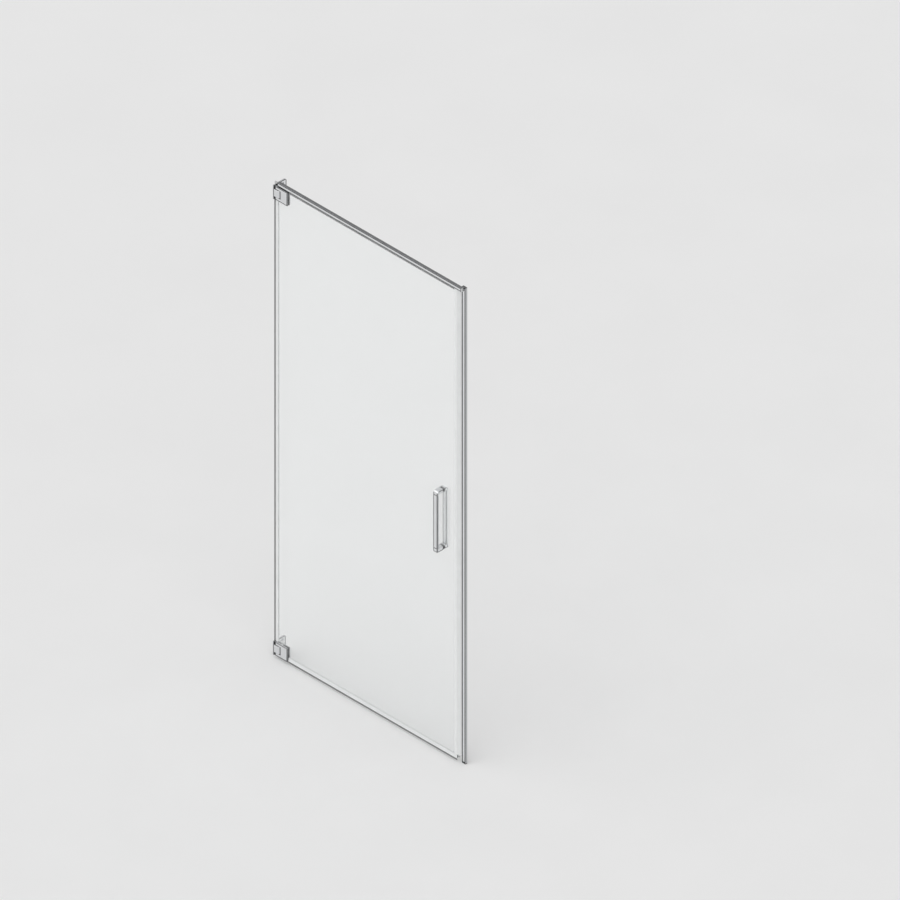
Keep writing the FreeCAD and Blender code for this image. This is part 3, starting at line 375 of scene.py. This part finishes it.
def profile_aluminium(node):
    """Anodised profile, drawn along its length, with painted shade on top and where it looks along the
    door.
    """
    finish = Finish(f"profile_aluminium_{node}", {"Metallic": 1})
    drawn_lines = finish.noise(grain=0.0006, stretch=lengthwise(node, along=400, across=1))
    anodised = finish.blend(finish.noise(grain=0.08), *anodised_colours)
    # Painted shade on the top and on the faces that look along the door
    shaded_side = finish.calculate("MAXIMUM", finish.facing("X", shaded_side_turn), finish.facing("Z", shaded_side_turn))
    shaded = finish.blend(shaded_side, anodised, anodised_side_shade_colour)
    finish.set_colour(paint_edge_shade(finish, node, shaded, profile_edge_shade_width))
    finish.set_roughness(finish.ranged(drawn_lines, low=0.18, high=0.3))
    finish.set_relief(drawn_lines, height=4e-6)
    return finish.material


# Other materials: one for each slot, shared by its nodes

def clear_glass():
    """Clear glass, green at its edges."""
    finish = Finish("clear_glass", {"Transmission Weight": 0.88, "IOR": 1.52})
    finish.set_colour(finish.blend(finish.facing("Y", glass_turn), glass_edge_colour, glass_face_colour))
    finish.set_roughness(finish.ranged(finish.noise(grain=0.09), low=0.0, high=0.012))
    finish.let_lamps_through(share=0.86)
    return finish.material


def beyond_glass(finish):
    """1 on the parts of a seal that stand past the glass at the wall or below, 0 elsewhere."""
    lowest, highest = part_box("glass_panel")
    at_wall = finish.calculate("LESS_THAN", finish.along("Object", "X"), lowest.x)
    below = finish.calculate("LESS_THAN", finish.along("Object", "Z"), lowest.z - skirt_clear_height)
    return finish.calculate("MAXIMUM", at_wall, below)


def clear_seal():
    """Clear extrusion with a dense grey lip past the edge of the glass."""
    finish = Finish("clear_seal", {"Transmission Weight": 0.25, "IOR": 1.45})
    dimples = finish.noise(grain=0.0008)
    clear = finish.blend(finish.noise(grain=0.03), *seal_colours)
    finish.set_colour(finish.blend(beyond_glass(finish), clear, seal_lip_colour))
    finish.set_roughness(finish.ranged(dimples, low=0.1, high=0.24))
    finish.set_relief(dimples, height=1e-5)
    finish.let_lamps_through(share=0.75)
    return finish.material


def grained_finish(name, constants, colours, patch, roughness, grain,
                   relief_grain=None, relief_height=None, stretch=(1, 1, 1)):
    """A material that is the same all over, with relief where its grain and height are given."""
    finish = Finish(name, constants)
    lowest, highest = roughness
    finish.set_colour(finish.blend(finish.noise(patch), *colours))
    finish.set_roughness(finish.ranged(finish.noise(grain, stretch), low=lowest, high=highest))
    if relief_height:
        finish.set_relief(finish.noise(relief_grain, stretch), relief_height)
    return finish.material


def dress_nodes():
    """Gives every node of the frame the material of its slot."""
    metals = {"polished_metal": polished_metal, "profile_aluminium": profile_aluminium}
    shared = {"clear_glass": clear_glass(), "clear_seal": clear_seal()}
    for name, values in grained_finishes.items():
        shared[name] = grained_finish(name, **values)
    for subpart in frame["record"]["subparts"]:
        node = subpart["node"]
        slot = subpart["material_slot"]
        material = metals[slot](node) if slot in metals else shared[slot]
        mesh = frame["nodes"][node].data
        mesh.materials.clear()
        mesh.materials.append(material)


def add_floor():
    pale, darker = floor_greys
    material = grained_finish(
        "studio_floor",
        constants={"IOR": 1.3, "Specular IOR Level": 0},
        colours=((pale,) * 3, (darker,) * 3),
        patch=floor_patch,
        roughness=floor_roughness,
        grain=floor_grain,
    )
    mesh = bpy.data.meshes.new("studio_floor")
    level = cad_box[0].z
    corners = [(-1, -1), (1, -1), (1, 1), (-1, 1)]
    mesh.from_pydata([(x * floor_reach, y * floor_reach, level) for x, y in corners], [], [(0, 1, 2, 3)])
    mesh.materials.append(material)
    floor = bpy.data.objects.new("studio_floor", mesh)
    bpy.context.scene.collection.objects.link(floor)


def add_light():
    sun = bpy.data.lights.new("key_light", "SUN")
    sun.energy = key_strength
    sun.angle = key_spread
    lamp = bpy.data.objects.new("key_light", sun)
    lamp.rotation_mode = "QUATERNION"
    lamp.rotation_quaternion = key_direction.to_track_quat("Z", "Y")
    bpy.context.scene.collection.objects.link(lamp)


def add_world():
    """A soft grey surround, pale at the horizon and darker above it."""
    world = bpy.data.worlds.new("studio")
    world.use_nodes = True
    bpy.context.scene.world = world
    tree = world.node_tree
    place = tree.nodes.new("ShaderNodeTexCoord")
    axes = tree.nodes.new("ShaderNodeSeparateXYZ")
    height = tree.nodes.new("ShaderNodeMapRange")
    height.inputs["From Min"].default_value = -1
    ramp = tree.nodes.new("ShaderNodeValToRGB")
    steps = sorted(world_greys.items())
    while len(ramp.color_ramp.elements) < len(steps):
        ramp.color_ramp.elements.new(1)
    for element, (level, grey) in zip(ramp.color_ramp.elements, steps):
        element.position = (level + 1) / 2
        element.color = (grey, grey, grey, 1)
    background = next(node for node in tree.nodes if node.type == "BACKGROUND")
    tree.links.new(place.outputs["Generated"], axes.inputs["Vector"])
    tree.links.new(axes.outputs["Z"], height.inputs["Value"])
    tree.links.new(height.outputs["Result"], ramp.inputs["Fac"])
    tree.links.new(ramp.outputs["Color"], background.inputs["Color"])


def add_camera():
    lens = bpy.data.cameras.new("camera")
    lens.type = "ORTHO"
    lens.ortho_scale = view_width
    lens.clip_end = view_far_limit
    camera = bpy.data.objects.new("camera", lens)
    camera.location = view_target + towards_camera * view_distance
    camera.rotation_mode = "QUATERNION"
    camera.rotation_quaternion = towards_camera.to_track_quat("Z", "Y")
    bpy.context.scene.collection.objects.link(camera)
    bpy.context.scene.camera = camera


bpy.context.scene.view_settings.view_transform = "Standard"
dress_nodes()
add_floor()
add_light()
add_world()
add_camera()
